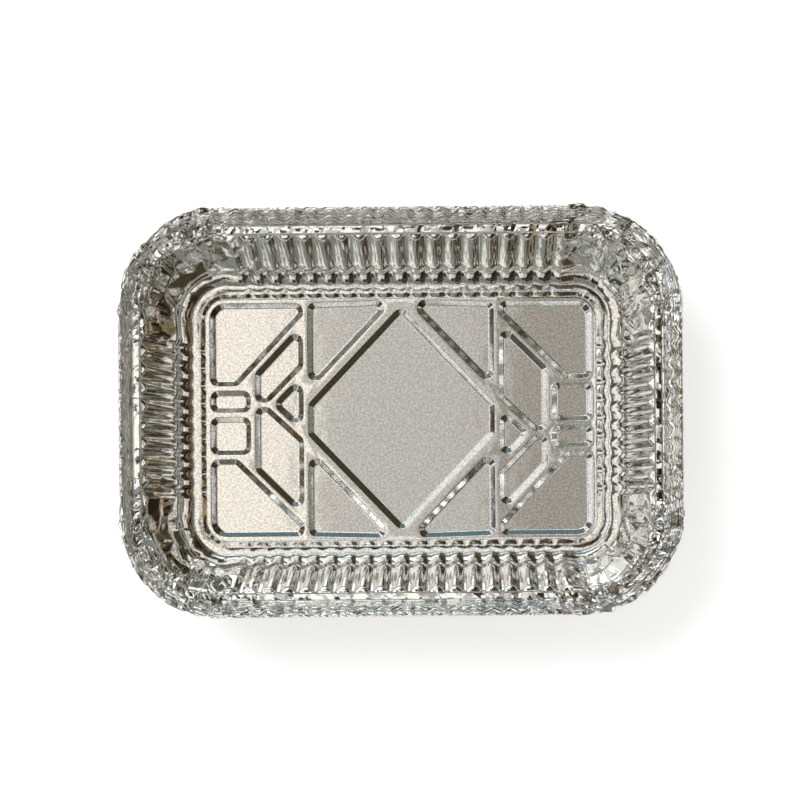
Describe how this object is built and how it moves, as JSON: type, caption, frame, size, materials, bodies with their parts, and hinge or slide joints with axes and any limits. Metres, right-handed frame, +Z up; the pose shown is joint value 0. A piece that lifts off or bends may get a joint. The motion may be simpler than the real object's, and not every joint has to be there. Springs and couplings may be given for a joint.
{
  "type": "foil food container",
  "caption": "Oblong tray pressed from aluminium foil, with fluted sloping walls, an embossed ribbed floor, gathered corners, a lid ledge and an upturned flange with a rolled edge.",
  "frame": {"origin": "centre of the bounding box's bottom face, on the table", "axes": "+X along the length, to the right in the picture; +Y across, to the top of the picture; +Z up out of the open mouth"},
  "size_m": [0.2286, 0.1662, 0.0523],
  "materials": {
    "foil": "bright rolled foil"
  },
  "bodies": {
    "root": {"foil_tray": "foil"}
  },
  "joints": []
}
